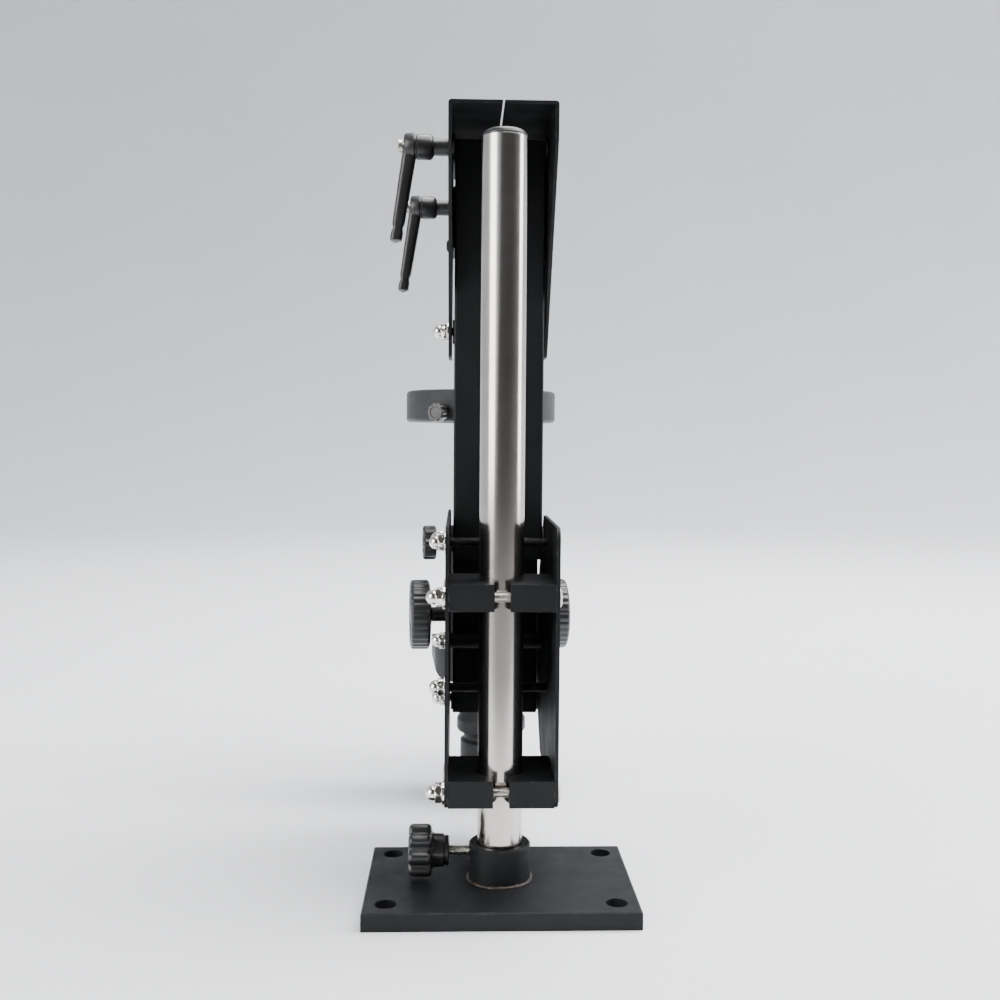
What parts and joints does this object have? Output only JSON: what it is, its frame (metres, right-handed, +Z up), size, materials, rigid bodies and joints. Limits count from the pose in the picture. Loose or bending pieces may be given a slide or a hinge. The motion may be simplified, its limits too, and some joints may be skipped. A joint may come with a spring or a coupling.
{
  "type": "spring balanced arm stand",
  "caption": "Bench-mounted articulated arm stand with a steel pole, parallel sheet-metal arm, drop post, focusing rack and ring holder, folded upright.",
  "frame": {"origin": "centre of the base plate's underside, on the pole's axis", "axes": "+Z up along the pole, +Y from the pole towards the arm and ring, +X across the arm"},
  "size_m": [0.15, 0.4027, 0.452],
  "materials": {
    "black_paint": "fine matte powder coat",
    "steel": "brushed, bright",
    "black_plastic": "semi-gloss moulded",
    "zinc": "zinc plated",
    "nickel": "bright nickel plated",
    "grey_paint": "satin grey",
    "dark_grey": "satin dark grey",
    "spring_steel": "oiled spring wire",
    "nylon": "dark nylon",
    "brass": "plain brass"
  },
  "bodies": {
    "base": {"base_plate": "black_paint", "pole_collar": "black_paint"},
    "collar_screw": {"collar_stud": "zinc", "collar_knob": "black_plastic"},
    "pole": {"pole_tube": "steel", "pole_cap": "black_plastic"},
    "bracket": {"bracket_plate_left": "black_paint", "bracket_plate_right": "black_paint", "bracket_bolts": "zinc", "bracket_nuts": "nickel", "bracket_washers": "nickel", "lower_clamp_block": "black_paint", "upper_clamp_block": "black_paint", "clamp_block_screws": "zinc", "bracket_spacer": "dark_grey"},
    "upper_link": {"upper_link": "dark_grey", "upper_bushes": "nylon", "balance_springs": "spring_steel", "spring_end_caps": "zinc", "spring_top_pin": "zinc", "spring_foot_pin": "zinc"},
    "lower_link": {"lower_link": "dark_grey", "lower_bushes": "nylon"},
    "head": {"head_plate_left": "black_paint", "head_plate_right": "black_paint", "arm_axle": "zinc", "head_bolts": "zinc", "head_nuts": "nickel", "head_washers": "nickel", "head_block_screws": "black_paint", "swivel_block": "black_paint"},
    "arm_lever": {"arm_lever": "black_plastic", "arm_lever_stud": "zinc", "arm_lever_screw": "zinc"},
    "post_lever": {"post_lever": "black_plastic", "post_lever_stud": "zinc", "post_lever_screw": "zinc"},
    "post": {"drop_post": "steel", "stop_ring": "black_paint", "post_hub": "black_paint", "focus_yoke": "grey_paint", "focus_housing": "black_paint", "slide_rail_left": "black_paint", "slide_rail_right": "black_paint", "rail_screws": "zinc"},
    "focus_slide": {"rack_bar": "steel", "ring_holder": "grey_paint"},
    "focus_knobs": {"focus_axle": "steel", "pinion": "brass", "focus_knob_left": "black_plastic", "focus_knob_right": "black_plastic"},
    "tension_knob": {"tension_screw": "zinc", "tension_knob": "black_plastic"},
    "ring_clamp": {"ring_screw": "zinc", "ring_screw_knob": "black_plastic"}
  },
  "joints": [
    {"name": "collar_screw_turn", "type": "hinge", "parent": "base", "child": "collar_screw", "pos_m": [-0.03, 0, 0.026], "axis": [1, 0, 0], "range_deg": [-540, 0]},
    {"name": "pole_swivel", "type": "hinge", "parent": "base", "child": "pole", "pos_m": [0, 0, 0.02], "axis": [0, 0, 1], "continuous": true},
    {"name": "bracket_height", "type": "slide", "parent": "pole", "child": "bracket", "axis": [0, 0, 1], "range_m": [-0.012, 0.24]},
    {"name": "arm_lift", "type": "hinge", "parent": "bracket", "child": "upper_link", "pos_m": [0, 0.079, 0.197], "axis": [-1, 0, 0], "range_deg": [0, 90]},
    {"name": "lower_link_follow", "type": "hinge", "parent": "bracket", "child": "lower_link", "pos_m": [0, 0.118, 0.087], "axis": [-1, 0, 0], "range_deg": [0, 90]},
    {"name": "head_level", "type": "hinge", "parent": "upper_link", "child": "head", "pos_m": [0, 0.079, 0.44], "axis": [-1, 0, 0], "range_deg": [-90, 0]},
    {"name": "arm_lever_turn", "type": "hinge", "parent": "head", "child": "arm_lever", "pos_m": [-0.05, 0.079, 0.44], "axis": [1, 0, 0], "range_deg": [-60, 60]},
    {"name": "post_lever_turn", "type": "hinge", "parent": "head", "child": "post_lever", "pos_m": [-0.05, 0.173, 0.421], "axis": [1, 0, 0], "range_deg": [-60, 60]},
    {"name": "post_swivel", "type": "hinge", "parent": "head", "child": "post", "pos_m": [0, 0.19, 0.3], "axis": [0, 0, 1], "range_deg": [-54, 46]},
    {"name": "focus_travel", "type": "slide", "parent": "post", "child": "focus_slide", "axis": [0, 0, 1], "range_m": [-0.026, 0.026]},
    {"name": "focus_knob_turn", "type": "hinge", "parent": "post", "child": "focus_knobs", "pos_m": [-0.00192, 0.21743, 0.128], "axis": [0.9976, 0.0698, 0], "range_deg": [-182, 182]},
    {"name": "tension_knob_turn", "type": "hinge", "parent": "post", "child": "tension_knob", "pos_m": [-0.04182, 0.21464, 0.182], "axis": [0.9976, 0.0698, 0], "range_deg": [-180, 0]},
    {"name": "ring_screw_turn", "type": "hinge", "parent": "focus_slide", "child": "ring_clamp", "pos_m": [-0.03718, 0.24079, 0.2795], "axis": [-0.5, -0.866, 0], "range_deg": [-360, 0]}
  ],
  "couplings": [
    {"joint": "lower_link_follow", "follows": "arm_lift", "ratio": 1},
    {"joint": "head_level", "follows": "arm_lift", "ratio": -1},
    {"joint": "focus_knob_turn", "follows": "focus_travel", "rad_per_m": 121.95}
  ]
}
